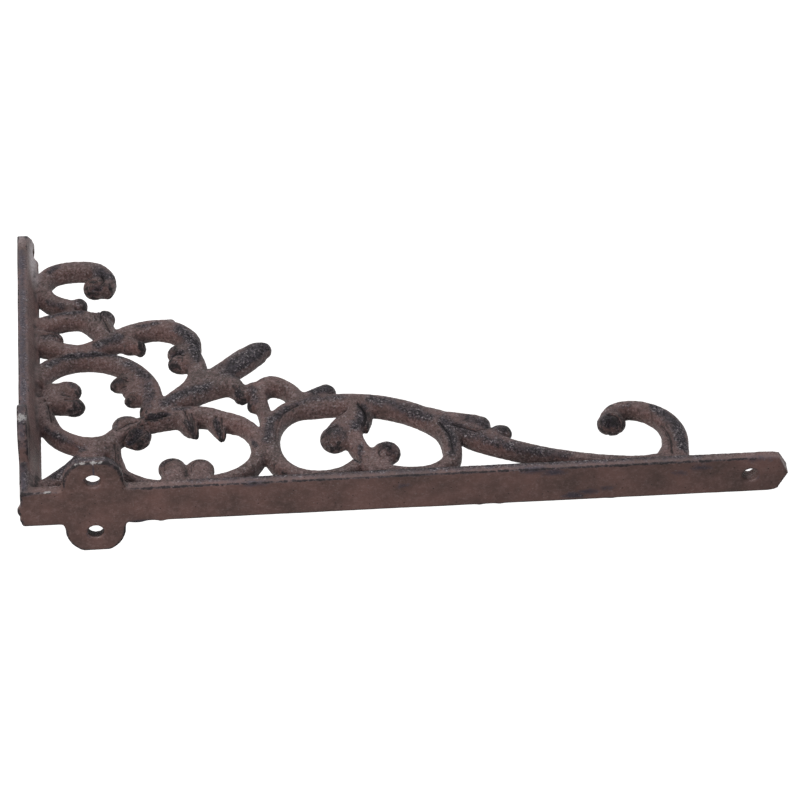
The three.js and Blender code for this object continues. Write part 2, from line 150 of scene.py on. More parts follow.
# Rounded lobes of the leaves, and rolled ends: middle, reach, turn in degrees, depth.
LOBES = (
    ((8, 79.9), (1.73, 3.26), 0, SCROLL_EYE_DEPTH),
    ((5.6, 72.5), (1.24, 2.39), 0, VINE_DEPTH),
    ((9.1, 66.8), (1.53, 2.76), 0, VINE_DEPTH),
    ((1.5, 59.3), (1.89, 2.51), 0, VINE_DEPTH),
    ((12.3, 56), (1.82, 2.51), -30, VINE_DEPTH),
    ((13.9, 54.5), (0.85, 1.76), 0, VINE_DEPTH),
    ((19.2, 51.5), (1.6, 2.7), 0, VINE_DEPTH),
    ((19.5, 47.5), (1.9, 2.7), 0, VINE_DEPTH),
    ((20.5, 49.2), (1.5, 4.2), 0, SMALL_LOBE_DEPTH),
    ((11.7, 23.6), (2.15, 3.89), -30, VINE_DEPTH),
    ((11.5, 40.9), (2.09, 2.13), 20, VINE_DEPTH),
    ((13.4, 34.8), (2.09, 2.01), 20, VINE_DEPTH),
    ((13, 38.2), (1.9, 4.8), 20, SMALL_LOBE_DEPTH),
    ((3.6, 38.6), (2.1, 3.4), 0, VINE_DEPTH),
    ((4.5, 32.7), (1.63, 2.64), -15, VINE_DEPTH),
    ((1.7, 37.1), (1.76, 4.65), 0, VINE_DEPTH),
    ((12.7, 20.3), (2.28, 2.82), 0, SCROLL_EYE_DEPTH),
    ((12.9, 18.9), (1.9, 3), 0, VINE_DEPTH),
    ((12.3, 21.8), (2.3, 3.2), -20, VINE_DEPTH),
    ((17.5, 7.2), (1.9, 3.3), 0, VINE_DEPTH),
    ((21.2, 6.1), (2, 3.6), 0, VINE_DEPTH),
    ((30.6, 51.4), (1.5, 2.26), 0, VINE_DEPTH),
    ((27.5, 33.6), (1.11, 2.13), 0, SMALL_LOBE_DEPTH),
    ((29.2, 29.8), (1.11, 1.88), 0, SMALL_LOBE_DEPTH),
    ((29.4, 35.5), (1.63, 2.64), 0, VINE_DEPTH),
    ((39.2, 33.9), (1.37, 2.01), -35, SMALL_LOBE_DEPTH),
    ((59.3, 18), (1.69, 3.01), 0, VINE_DEPTH),
    ((62.1, 14.6), (1.63, 2.32), 0, VINE_DEPTH),
    ((39.6, 15.4), (1.95, 4.1), 10, SCROLL_EYE_DEPTH),
    ((46.4, 9.2), (1.95, 3.5), 0, SCROLL_EYE_DEPTH),
    ((45, 7.4), (1.4, 4), 0, SMALL_LOBE_DEPTH),
    ((77.4, 16.4), (1.99, 3.14), 0, SCROLL_EYE_DEPTH),
)

# Lumps left by the mould, on the heel and along the far edge of the arm, in millimetres: middle, half sizes.
CASTING_LUMPS = (
    ((-0.2, -1.5, 29.2), (1.3, 2.8, 1.7)),
    ((0.6, -6.2, 29), (1.3, 2.4, 1.9)),
    ((242.5, -9.2, 29.4), (2.2, 0.8, 1.3)),
    ((47, -9.4, 29.6), (4.2, 1.2, 1.3)),
    ((57, -9.3, 29.7), (2.4, 0.9, 1.2)),
    ((188.1, -9.3, 29.7), (1.6, 0.8, 1)),
    ((196.4, -9.3, 29.7), (2, 0.8, 1)),
)

# Grooves cut in the pattern, in the same hundredths: width and depth in millimetres, then stations.
GROOVES = (
    # crown scroll's roll, shell leaf and the knob at its foot
    (1.4, 1.2, ((8.3, 78), (9.2, 80.2), (9, 82.4))),
    (1.0, 0.6, ((6.5, 70.6), (7.4, 68), (8, 64.3))),
    (1.1, 0.8, ((7.9, 71.2), (8.6, 68.3), (8.6, 64.2))),
    (1.1, 0.8, ((8.7, 66), (9.3, 62.5), (9.8, 59.3))),
    (1.2, 0.8, ((0.3, 59.1), (2.3, 59.4), (3.3, 57.7))),
    # seam between the horn and the wall ring, and the leaves of the horn
    (1.3, 0.9, ((2.3, 50.2), (5.4, 50), (8.5, 50.2), (10.5, 51.4))),
    (1.0, 0.6, ((20.6, 56.5), (21.7, 53.1), (22, 49.5), (21.8, 45.5))),
    (1.1, 0.9, ((18, 48.8), (19.1, 49.9), (19.9, 48.6))),
    (1.1, 0.9, ((18.2, 43.2), (19.3, 44.3), (20.1, 43.4))),
    # bud cluster and leaf inside the wall ring
    (1.2, 1.1, ((1.1, 31.4), (1.5, 25))),
    (1.2, 1.0, ((3.4, 33.4), (5.8, 33.6))),
    (1.1, 0.9, ((9.7, 36.5), (10, 39.8), (11, 40.8), (12.1, 39.7))),
    (0.9, 0.6, ((10.1, 37.2), (10.8, 38.3), (11.8, 38.2))),
    (1.1, 0.9, ((11.4, 31.9), (11.7, 33.9), (12.5, 34.1), (13.3, 32.9))),
    # knot where the rings meet: a deep slot, and the curled leaf's hollow
    (2.4, 2.2, ((14.4, 24.6), (15.7, 25), (16.9, 25.6))),
    (3.2, 1.7, ((11, 16), (12.2, 17), (13.3, 18.6), (14.4, 20.9))),
    (1.2, 1.4, ((10.8, 17), (12.1, 20.2), (13.8, 22.4))),
    (1.0, 0.8, ((10.2, 20.5), (11.8, 22.6), (13.1, 23.4))),
    (1.2, 1.6, ((12.9, 20.4), (13.1, 18.2), (12.2, 16.2))),
    (1.1, 1.4, ((14, 21.6), (14.6, 19.4), (14, 17))),
    # folds of the two feet, resting ring and its drips
    (1.1, 0.7, ((16.5, 4.6), (16.6, 7.4), (17.9, 8.8))),
    (1.1, 0.7, ((20, 3.8), (20.2, 6.6), (21.5, 8))),
    (1.2, 0.7, ((38.6, 13.4), (38.6, 16.6), (40, 18))),
    (1.3, 0.9, ((9.9, 15.5), (10.1, 8.2), (10.8, 4), (12.2, 1.4))),
    (1.0, 0.9, ((19.6, 26.4), (20.2, 21.5), (20.3, 19.1))),
    (1.0, 0.9, ((20.5, 25.8), (20.9, 21.4), (20.7, 18.2))),
    (1.0, 0.9, ((23.8, 23.9), (23.8, 20.1), (23.9, 16.7))),
    (1.0, 0.9, ((24.5, 23.3), (24.6, 19.9), (24.5, 16.1))),
    # leaf tips, first trunk and third ring
    (1.1, 0.9, ((26.8, 35.7), (27.1, 33), (27.3, 30.2))),
    (1.7, 0.7, ((31.5, 13.8), (32, 19.5), (33, 24), (34.9, 26.8))),
    # curl, second trunk and the leaf on the long stem
    (1.5, 1.3, ((43.2, 26.5), (44.1, 22.5), (43.6, 18))),
    (1.3, 0.9, ((54, 17.6), (55.1, 12.4), (55.3, 7.1))),
    (1.2, 0.8, ((58.9, 13.9), (60.5, 14.9))),
    (1.3, 0.9, ((55.8, 16.6), (58.9, 13.4))),
    # hook
    (1.6, 0.9, ((84.7, 2), (84.8, 8.2), (83.9, 13.4), (82, 17))),
)

# Spiral grooves round the rolled ends: middle, first and last radius in mm, turns, start, width, depth in mm.
SPIRALS = (
    ((7.6, 78.6), 3.9, 1.0, 1.1, 170, 1.3, 1.1),
    ((46.4, 7.4), 3.6, 1.4, 0.9, 130, 0.9, 0.7),
    ((77.4, 14.4), 4.2, 1.4, 0.9, 250, 1.2, 1.4),
)

# Small pits left by sand and gas, in the same hundredths: middle, radius and depth in millimetres.
PITS = (
    ((6.7, 79.7), 1.3, 1.5),
    ((8.3, 78), 1.5, 2),
    ((8.3, 80.6), 0.8, 0.8),
    ((0.7, 33.3), 0.8, 1.0),
    ((11.8, 16), 0.9, 1.2),
    ((13.4, 20.5), 0.9, 1.5),
    ((13.7, 17.6), 0.9, 1.5),
    ((12.6, 14.9), 0.8, 1.2),
    ((14.5, 23), 0.8, 1.1),
    ((77.9, 12.6), 1.0, 1.3),
    ((76.8, 14.2), 0.8, 1.1),
    ((78.2, 14.8), 0.7, 1.1),
)

# Where the paint is rubbed to dark iron, in the same hundredths: width in millimetres, strength, stations.
SOOT = (
    # crown scroll and shell leaf
    (9, 0.9, ((8.7, 84.1), (9.9, 81.9))),
    (5, 0.8, ((1.7, 85.1), (2.6, 87.1))),
    (4, 0.7, ((7.5, 77.4), (8.7, 77.9))),
    (6, 0.6, ((0.9, 72), (3, 70.4))),
    (4, 0.8, ((1.3, 66.5), (3.7, 67.6), (6, 67.8))),
    (5, 0.55, ((0.8, 58.5), (2.7, 59.6))),
    (5, 0.5, ((5.4, 72.4), (5.8, 71.8))),
    (6, 0.6, ((8.6, 67.4), (9.8, 66.3))),
    # horn
    (6, 0.9, ((8.2, 54.2), (11.2, 57.1))),
    (4, 0.6, ((13.6, 60.8), (16.4, 61.8))),
    (8, 0.9, ((19.6, 59.4), (21.5, 53), (21.7, 47.3))),
    (5, 0.6, ((18, 49.6), (19.6, 50))),
    (4, 0.6, ((13.2, 52.6), (14.2, 51.2))),
    # wall ring, its leaves and its foot
    (5.5, 0.85, ((1.2, 47.1), (3.8, 49.8), (7.9, 50.8), (11, 49.5))),
    (7, 0.7, ((12.4, 46.2), (14.6, 40.7), (15, 34.1), (14.5, 28.9))),
    (5, 0.6, ((10.3, 39.9), (11.4, 40))),
    (5, 0.5, ((4.1, 39.5), (5, 38))),
    (6, 0.6, ((0.6, 21.8), (3.1, 18.3), (5.6, 13.6))),
    (6, 0.8, ((1.6, 4), (4.6, 11))),
    # volute, resting ring and its drips
    (4, 1, ((11.6, 16.6), (12.6, 17.4), (13.2, 19.8))),
    (3, 0.7, ((9.8, 21.6), (10.7, 24.8), (12.3, 26.1))),
    (4, 0.6, ((14.2, 16), (14.8, 20))),
    (4, 1, ((14.9, 25.2), (17.2, 25.6))),
    (3, 0.6, ((18.1, 27.2), (20.3, 27.5))),
    (4, 0.7, ((20, 22.5), (20.8, 17.8))),
    (3.5, 0.8, ((23.8, 22.5), (24.2, 16.5))),
    (4, 0.9, ((27.6, 15.6), (28.9, 12.4))),
    (5, 0.6, ((16.2, 6.8), (17.4, 8.4))),
    # bud and leaf tips
    (7, 0.9, ((17, 30.5), (19.8, 34.1), (22.6, 35.6))),
    (14, 1, ((31.2, 51), (29, 46.5), (26.6, 43))),
    (5, 0.7, ((27, 33.5), (27.4, 29.1))),
    (5, 0.6, ((29, 35), (29.3, 29.5))),
    # third ring, long stem, post and its balls
    (6, 0.8, ((30.4, 14), (31.3, 21.5), (33.4, 25.7))),
    (6, 0.6, ((34.3, 26.6), (36.7, 29), (41, 29.4))),
    (8, 0.9, ((37.4, 32.2), (39.6, 33.6))),
    (7, 0.85, ((43.8, 25), (43.6, 21), (42.4, 17.6))),
    (13, 0.75, ((39.4, 16.6), (39.9, 16.4))),
    (4, 0.8, ((42.9, 10), (42.5, 4.8))),
    (10, 0.8, ((46.4, 9.6), (46.9, 9))),
    (9, 0.7, ((45.1, 27.5), (47.3, 26.4), (50, 22.8), (52.5, 20))),
    (6, 0.8, ((54.4, 17), (55.5, 12.5), (55.3, 5.9))),
    # trailing stem and hook
    (9, 0.75, ((57.8, 18.8), (62.3, 14.4))),
    (9, 0.65, ((54.5, 18.5), (58, 13.5), (61, 9.4), (65.5, 5.6), (70, 2.9))),
    (10, 0.95, ((76.6, 15.6), (77.9, 12.8))),
    (7, 0.95, ((83.5, 19.5), (86, 13), (86.4, 4))),
    (4, 0.4, ((77.6, 18.8), (80.1, 21))),
    # rim of the arm's ear, and edge bands of the flanges
    (3, 0.7, ((3, -4), (10.9, -4))),
    (7, 0.65, ((20, -2.8), (88, -2.8))),
    (5, 0.8, ((-2.2, -4), (-2.2, 90))),
)

SCREW_HOLES = ((30, 14.15), (30, -14.15), (299.8, 0))  # through the arm, in millimetres
BORE_REACH = 4.6 * MM  # shading round a screw hole

# Smudges on the arm's outer face, in millimetres: middle and half sizes, strength.
FACE_SMUDGES = (
    ((210, 9.2, 30.8), (9, 3.6, 3), 0.95),
    ((218, 7.2, 30.8), (8, 3.4, 3), 0.9),
    ((226.5, -6.4, 30.8), (7, 3, 3), 0.9),
    ((233, -4.6, 30.8), (7, 3, 3), 0.9),
    ((240, -3.2, 30.8), (7, 2.4, 3), 0.7),
    ((270, 3.4, 30.8), (7, 2.6, 3), 0.7),
    ((279, 5.8, 30.8), (9, 2.6, 3), 0.75),
    ((156, 3.6, 30.8), (8, 2.6, 3), 0.5),
    ((96, 9, 30.8), (12, 3, 3), 0.7),
    ((49, -9.4, 30.8), (7, 2, 3), 1.2),
    ((30.5, 20.6, 30.8), (0.7, 5, 2), 1),
    ((303, 9, 30.8), (9, 2.4, 3), 0.6),
)

# Bright chips on the arm's ear and at the heel, and the bare patch on the leg's ear, each also a painted
# highlight, in the same way.
CHIPS_AND_HIGHLIGHTS = (
    ((20.9, 23.3, 30.7), (1.9, 1.4, 1.4), 1.1),
    ((23.3, 24.5, 30.7), (2.2, 1.4, 1.4), 1.1),
    ((26.4, 24.8, 30.6), (2.2, 1.3, 1.4), 1),
    ((30.6, 24.8, 30.7), (2.4, 1.4, 1.6), 1.2),
    ((33.5, 24.8, 30.6), (1.5, 1.2, 1.2), 0.9),
    ((11.2, 9.5, 30.5), (2.6, 1.1, 1.2), 1.1),
    ((2, 24.5, 1.6), (4, 3, 4.4), 0.95),
)

# Painted reflection where the smooth faces at the leg's point catch the light, in the same way.
PAINTED_REFLECTION = (
    ((6.5, 4.5, -120), (5, 4, 20), 1),
    ((1.5, 9, -133), (4, 3, 9), 0.4),
)


def spot(out, down):
    """A place on the vine, from hundredths to metres."""
    x = RAIL + (ARM_LENGTH - RAIL) * out / 100
    below = RAIL + (LEG_LENGTH - RAIL) * down / 100
    return np.array((x, 0.0, ARM_FACE - below))


def linear(code):
    """An sRGB hex colour as a linear RGBA."""
    parts = [int(code[i:i + 2], 16) / 255 for i in (1, 3, 5)]
    return tuple(c / 12.92 if c <= 0.04045 else ((c + 0.055) / 1.055) ** 2.4 for c in parts) + (1.0,)


# Paths

def between(a, b, share):
    return a + (b - a) * share


def catmull(points, steps):
    """Places along a centripetal Catmull-Rom curve, and how far along its stations each one is."""
    padded = [2 * points[0] - points[1], *points, 2 * points[-1] - points[-2]]
    places = []
    for i in range(1, len(padded) - 2):
        p0, p1, p2, p3 = padded[i - 1:i + 3]
        d0, d1, d2 = (np.linalg.norm(b - a) ** 0.5 for a, b in ((p0, p1), (p1, p2), (p2, p3)))
        leave = ((p1 - p0) / d0 - (p2 - p0) / (d0 + d1) + (p2 - p1) / d1) * d1
        arrive = ((p2 - p1) / d1 - (p3 - p1) / (d1 + d2) + (p3 - p2) / d2) * d1
        for k in range(steps):
            t = k / steps
            bend = -3 * p1 + 3 * p2 - 2 * leave - arrive
            twist = 2 * p1 - 2 * p2 + leave + arrive
            places.append((i - 1 + t, p1 + leave * t + bend * t ** 2 + twist * t ** 3))
    places.append((len(points) - 1, points[-1]))
    return places


def strand_samples(stations, steps):
    """Centres and half widths along a strand."""
    samples = []
    shares = [s[2] for s in stations]
    for way, centre in catmull([spot(s[0], s[1]) for s in stations], steps):
        share = float(np.interp(way, range(len(shares)), shares))
        samples.append((centre, share * STRAND_WIDTH / 2))
    return samples


def ring_samples(heart, reach, turns, widths, square, steps):
    """The same for part of a squarish oval."""
    samples = []
    count = round(abs(turns[1] - turns[0]) / 90 * steps)
    for k in range(count + 1):
        share = k / count
        angle = math.radians(between(*turns, share))
        cos, sin = math.cos(angle), math.sin(angle)
        grow = (abs(cos) ** square + abs(sin) ** square) ** (-1 / square)
        centre = spot(heart[0] + reach[0] * grow * cos, heart[1] + reach[1] * grow * sin)
        samples.append((centre, between(*widths, share) * STRAND_WIDTH / 2))
    return samples


# Meshes

def put(name, data):
    """A new object in the scene, with a mesh, a lamp or a camera."""
    piece = bpy.data.objects.new(name, data)
    bpy.context.scene.collection.objects.link(piece)
    return piece


def new_object(name, vertices, edges=(), faces=()):
    mesh = bpy.data.meshes.new(name)
    mesh.from_pydata([tuple(v) for v in vertices], list(edges), list(faces))
    return put(name, mesh)


def add_values(mesh, name, values, kind="FLOAT"):
    attribute = mesh.attributes.new(name, kind, "POINT")
    field = "vector" if kind == "FLOAT_VECTOR" else "value"
    attribute.data.foreach_set(field, np.asarray(values, np.float32).ravel())


def take(piece):
    """The evaluated piece as a plain mesh; the piece itself goes."""
    graph = bpy.context.evaluated_depsgraph_get()
    mesh = bpy.data.meshes.new_from_object(piece.evaluated_get(graph), depsgraph=graph)
    old = piece.data
    bpy.data.objects.remove(piece)
    bpy.data.meshes.remove(old)
    return mesh


def places_of(mesh):
    places = np.empty(len(mesh.vertices) * 3, np.float32)
    mesh.vertices.foreach_get("co", places)
    return places.reshape(-1, 3).astype(float)


def normals_of(mesh):
    normals = np.empty(len(mesh.vertices) * 3, np.float32)
    mesh.vertices.foreach_get("normal", normals)
    return normals.reshape(-1, 3).astype(float)


def set_places(mesh, places):
    mesh.vertices.foreach_set("co", places.astype(np.float32).ravel())
    mesh.update()


def edges_of(mesh):
    ends = np.empty(len(mesh.edges) * 2, np.int32)
    mesh.edges.foreach_get("vertices", ends)
    return ends.reshape(-1, 2)


def evened(values, ends, rounds, strength=0.5):
    """Values smoothed over the mesh's edges."""
    count = np.bincount(ends.ravel(), minlength=len(values)).astype(float)
    count[count == 0] = 1
    values = values.copy()
    for _ in range(rounds):
        total = np.empty_like(values)
        for k in range(values.shape[1]):
            column = values[:, k]
            total[:, k] = np.bincount(ends[:, 0], column[ends[:, 1]], len(values))
            total[:, k] += np.bincount(ends[:, 1], column[ends[:, 0]], len(values))
        values += strength * (total / count[:, None] - values)
    return values


# Node trees

MATH = "ShaderNodeMath"
VECTOR = "ShaderNodeVectorMath"
RANGE = "ShaderNodeMapRange"
MIX = "ShaderNodeMix"
ATTRIBUTE = "GeometryNodeInputNamedAttribute"
POSITION = "GeometryNodeInputPosition"
PLACED = "GeometryNodeSetPosition"
ADD, SUBTRACT, MULTIPLY, DIVIDE, MULTIPLY_ADD, MAXIMUM, POWER, ABSOLUTE, SIGN, SCALE, LENGTH = (
    {"operation": name} for name in (
        "ADD", "SUBTRACT", "MULTIPLY", "DIVIDE", "MULTIPLY_ADD", "MAXIMUM", "POWER", "ABSOLUTE", "SIGN",
        "SCALE", "LENGTH",
    )
)
COLOURS = {"data_type": "RGBA"}
NUMBERS = {"data_type": "FLOAT"}
VECTORS = {"data_type": "FLOAT_VECTOR"}


def add(tree, kind, settings=None, inputs=()):
    """Adds a node: settings, then inputs in order or by name. A node given as one lends its first output."""
    node = tree.nodes.new(kind)
    for name, value in (settings or {}).items():
        setattr(node, name, value)
    for name, value in inputs.items() if isinstance(inputs, dict) else enumerate(inputs):
        if isinstance(value, bpy.types.Node):
            value = value.outputs[0]
        if isinstance(value, bpy.types.NodeSocket):
            tree.links.new(value, node.inputs[name])
        else:
            node.inputs[name].default_value = value
    return node


def new_tree(name, sockets):
    """A geometry tree with a geometry in and out, a material and the named sizes as inputs."""
    tree = bpy.data.node_groups.new(name, "GeometryNodeTree")
    tree.interface.new_socket("Geometry", in_out="INPUT", socket_type="NodeSocketGeometry")
    tree.interface.new_socket("Geometry", in_out="OUTPUT", socket_type="NodeSocketGeometry")
    tree.interface.new_socket("Material", in_out="INPUT", socket_type="NodeSocketMaterial")
    for label, kind, default in sockets:
        socket = tree.interface.new_socket(label, in_out="INPUT", socket_type=kind)
        socket.default_value = default
    return tree, tree.nodes.new("NodeGroupInput").outputs, partial(add, tree)


def end_tree(tree, given, geometry):
    """Ends a tree with real geometry and the material on it."""
    real = add(tree, "GeometryNodeRealizeInstances", None, {"Geometry": geometry})
    painted = add(tree, "GeometryNodeSetMaterial", None, {"Geometry": real, "Material": given["Material"]})
    add(tree, "NodeGroupOutput", None, {"Geometry": painted})
    return tree


def run_tree(piece, tree, values):
    """Gives the piece the tree as a modifier, sets its inputs by identifier and takes the result."""
    modifier = piece.modifiers.new(tree.name, "NODES")
    modifier.node_group = tree
    for item in tree.interface.items_tree:
        if item.in_out == "INPUT" and item.name in values:
            modifier[item.identifier] = values[item.name]
    return take(piece)


def vine_strand_tree():
    """Skins a polyline with a full rounded section, as wide and deep as its points say."""
    tree, given, node = new_tree("Vine strand", (
        ("Section Points", "NodeSocketInt", 24),
        ("Fullness", "NodeSocketFloat", 3.1),
    ))
    power = node(MATH, DIVIDE, (2.0, given["Fullness"]))
    circle = node("GeometryNodeCurvePrimitiveCircle", None, {
        "Resolution": given["Section Points"], "Radius": 1.0,
    })
    place = node("ShaderNodeSeparateXYZ", None, (node(POSITION),)).outputs
    full = []
    for axis in (0, 1):
        swell = node(MATH, POWER, (node(MATH, ABSOLUTE, (place[axis],)), power))
        full.append(node(MATH, MULTIPLY, (swell, node(MATH, SIGN, (place[axis],)))))
    section = node(PLACED, None, {"Geometry": circle, "Position": node("ShaderNodeCombineXYZ", None, full)})
    skin = node("GeometryNodeCurveToMesh", None, {
        "Curve": node("GeometryNodeMeshToCurve", None, {"Mesh": given["Geometry"]}),
        "Profile Curve": section,
        "Scale": node(ATTRIBUTE, NUMBERS, {"Name": "half_width"}).outputs["Attribute"],
        "Fill Caps": True,
    })
    flat = node(ATTRIBUTE, NUMBERS, {"Name": "flatness"}).outputs["Attribute"]
    deep = node(MATH, MULTIPLY, (place[1], flat))
    pressed = node("ShaderNodeCombineXYZ", None, (place[0], deep, place[2]))
    return end_tree(tree, given, node(PLACED, None, {"Geometry": skin, "Position": pressed}))


def vine_lobe_tree():
    """Puts a rounded lobe on every point, as large and turned as the point says."""
    tree, given, node = new_tree("Vine lobes", (
        ("Meridians", "NodeSocketInt", 24),
        ("Parallels", "NodeSocketInt", 14),
    ))
    lobes = node("GeometryNodeInstanceOnPoints", None, {
        "Points": node("GeometryNodeMeshToPoints", None, {"Mesh": given["Geometry"]}),
        "Instance": node("GeometryNodeMeshUVSphere", None, {
            "Segments": given["Meridians"], "Rings": given["Parallels"], "Radius": 1.0,
        }),
        "Rotation": node(ATTRIBUTE, VECTORS, {"Name": "turn"}).outputs["Attribute"],
        "Scale": node(ATTRIBUTE, VECTORS, {"Name": "reach"}).outputs["Attribute"],
    })
    return end_tree(tree, given, lobes)


def sand_skin_tree():
    """The uneven skin that a sand mould leaves: long waves and small grains, pushed along the normals."""
    tree, given, node = new_tree("Sand-cast skin", (
        ("Wave Height", "NodeSocketFloat", 0.28 * MM),
        ("Wave Length", "NodeSocketFloat", WAVE_LENGTH),
        ("Grain Height", "NodeSocketFloat", 0.45 * MM),
        ("Grain Length", "NodeSocketFloat", GRAIN_LENGTH),
    ))
    place = node(POSITION)
    calm = node(ATTRIBUTE, NUMBERS, {"Name": "calm"}).outputs["Attribute"]
    heights = []
    for kind in ("Wave", "Grain"):
        noise = node("ShaderNodeTexNoise", None, {
            "Vector": place,
            "Scale": node(MATH, DIVIDE, (1.0, given[f"{kind} Length"])),
            "Detail": 2.0,
            "Roughness": 0.55,
        })
        heights.append(node(MATH, MULTIPLY, (node(MATH, SUBTRACT, (noise, 0.5)), given[f"{kind} Height"])))
    grain = node(MATH, MULTIPLY, (heights[1], node(MATH, SUBTRACT, (1.0, calm))))
    height = node(MATH, ADD, (heights[0], grain))
    push = node(VECTOR, SCALE, {0: node("GeometryNodeInputNormal"), "Scale": height})
    return end_tree(tree, given, node(PLACED, None, {"Geometry": given["Geometry"], "Offset": push}))


# Material

# The paint's patterns: how often they repeat in a millimetre, detail, roughness.
PAINT_PATTERNS = (
    (0.06, 3, 0.6),  # 16 mm patches where the paint lies thicker
    (0.2, 4, 0.62),  # 5 mm smudges of handling and soot
    (0.6, 4, 0.7),  # 1.7 mm blotches
    (1.1, 3, 0.75),  # 0.9 mm grains of the moulding sand
    (2.6, 2, 0.8),  # 0.4 mm specks
)
CRUMBS = 0.55 / MM  # 1.8 mm crumbs of paint with fine lines round them
PINHOLES = 0.42 / MM  # pinholes 2.4 mm apart


def painted_cast_iron(colours):
    """Grey iron cast in sand and brushed with a thin dark brown oil paint, now rubbed and handled.
    The eye sees a dull brown skin with fine pits, blue-grey iron along the edges and as painted sheen on the
    fronts, near-black grime and painted shade in the hollows, and pale painted highlights and reflection."""
    material = bpy.data.materials.new("worn_brown_paint_on_sand_cast_iron")
    material.use_nodes = True
    tree = material.node_tree
    tree.nodes.clear()
    node = partial(add, tree)
    tone = {name: linear(code) for name, code in colours.items()}
    place = node("ShaderNodeTexCoord").outputs["Object"]
    edge, rim, hollow, front, soot, calm = (
        node("ShaderNodeAttribute", {"attribute_name": name}).outputs["Fac"]
        for name in ("edge", "rim", "hollow", "front", "soot", "calm")
    )
    clouds, smudges, mottle, grit, dust = (
        node("ShaderNodeTexNoise", None, {
            "Vector": place, "Scale": often / MM, "Detail": detail, "Roughness": roughness,
        })
        for often, detail, roughness in PAINT_PATTERNS
    )

    def spots(table):
        """How near each point is to some oval spots, from a spot's strength at its middle to 0 at its rim."""
        most = 0.0
        for heart, reach, strength in table:
            offset = node(VECTOR, SUBTRACT, (place, tuple(c * MM for c in heart)))
            share = node(VECTOR, DIVIDE, (offset, tuple(c * MM for c in reach)))
            away = node(VECTOR, LENGTH, (share,)).outputs["Value"]
            most = node(MATH, MAXIMUM, (node(RANGE, None, (away, 1.0, 0.0, 0.0, strength)), most))
        return most

    push = node(VECTOR, SCALE, {0: (1.0, 1.0, 1.0), "Scale": node(MATH, MULTIPLY, (mottle, 1.5 * MM))})
    crack = node("ShaderNodeTexVoronoi", {"feature": "DISTANCE_TO_EDGE"}, {
        "Vector": node(VECTOR, ADD, (place, push)), "Scale": CRUMBS,
    }).outputs["Distance"]
    pits = node("ShaderNodeTexVoronoi", {"feature": "F1"}, {"Vector": place, "Scale": PINHOLES})
    chance = node("ShaderNodeSeparateColor", None, (pits.outputs["Color"],))
    crust = node(MATH, SUBTRACT, (1.0, calm))

    # Brown paint, uneven over the walls and dulled by handling on the fronts
    patches = node(RANGE, None, (clouds, 0.35, 0.65))
    paint = node(MIX, COLOURS, {0: patches, 6: tone["shade"], 7: tone["paint"]}).outputs[2]
    handled = node(MATH, MULTIPLY_ADD, (crust, 0.75, 0.2))
    dull = node(MATH, MULTIPLY, (node(RANGE, None, (mottle, 0.48, 0.72)), handled))
    paint = node(MIX, COLOURS, {0: dull, 6: paint, 7: tone["light"]}).outputs[2]
    even = node(MATH, MULTIPLY, (calm, 0.3))
    paint = node(MIX, COLOURS, {0: even, 6: paint, 7: tone["shade"]}).outputs[2]

    # Dark iron where the paint is rubbed through, broken up by the grain, and partly painted sheen on the
    # fronts
    breakup = node(MATH, MULTIPLY_ADD, (smudges, 0.9, -1.15))
    breakup = node(MATH, MULTIPLY_ADD, (mottle, 0.9, breakup))
    breakup = node(MATH, MULTIPLY_ADD, (grit, 0.5, breakup))
    rubbed = node(MATH, MAXIMUM, (node(MATH, MULTIPLY, (soot, 0.8)), spots(FACE_SMUDGES)))
    # The fronts get a little more, as painted sheen
    rubbed = node(MATH, MULTIPLY_ADD, (front, 0.1, rubbed))
    worn_and_sheen = node(RANGE, None, (node(MATH, ADD, (rubbed, breakup)), 0.22, 0.72))
    ragged = node(MATH, MULTIPLY_ADD, (mottle, 1.6, -0.8))
    lip = node(RANGE, None, (node(MATH, ADD, (rim, ragged)), 0.4, 0.95))
    worn_and_sheen = node(MATH, MAXIMUM, (node(MATH, MULTIPLY, (worn_and_sheen, 0.88)), node(MATH, MULTIPLY, (lip, 0.7))))
    colour = node(MIX, COLOURS, {0: worn_and_sheen, 6: paint, 7: tone["iron"]}).outputs[2]
    # Painted reflection on the smooth faces at the leg's point, in the pale colour
    leg_point_reflection = node(RANGE, None, (spots(PAINTED_REFLECTION), 0.0, 0.7))
    leg_point_reflection = node(MATH, MULTIPLY, (leg_point_reflection, node(RANGE, None, (mottle, 0.2, 0.6))))
    colour = node(MIX, COLOURS, {0: leg_point_reflection, 6: colour, 7: tone["rubbed"]}).outputs[2]

    # Specks: pale where the grains are rubbed, dark between them, and dark lines round crumbs of paint
    rough_skin = node(MATH, MULTIPLY, (crust, node(MATH, MULTIPLY_ADD, (worn_and_sheen, 0.68, 0.32))))
    grains = node(RANGE, None, (grit, 0.55, 0.63))
    grains = node(MATH, MULTIPLY, (grains, node(RANGE, None, (smudges, 0.4, 0.54))))
    pale = node(MATH, MULTIPLY, (grains, rough_skin))
    colour = node(MIX, COLOURS, {0: pale, 6: colour, 7: tone["rubbed"]}).outputs[2]
    between_grains = node(MATH, MULTIPLY_ADD, (crust, 0.25, rough_skin))
    shadowed = node(MATH, MULTIPLY, (node(RANGE, None, (grit, 0.48, 0.41)), between_grains))
    flaking = node(RANGE, None, (node(MATH, ADD, (worn_and_sheen, ragged)), 0.2, 0.7))
    lines = node(MATH, MULTIPLY, (node(RANGE, None, (crack, 0.08, 0.02)), flaking))
    lines = node(MATH, MULTIPLY, (lines, node(MATH, MULTIPLY, (crust, 0.9))))
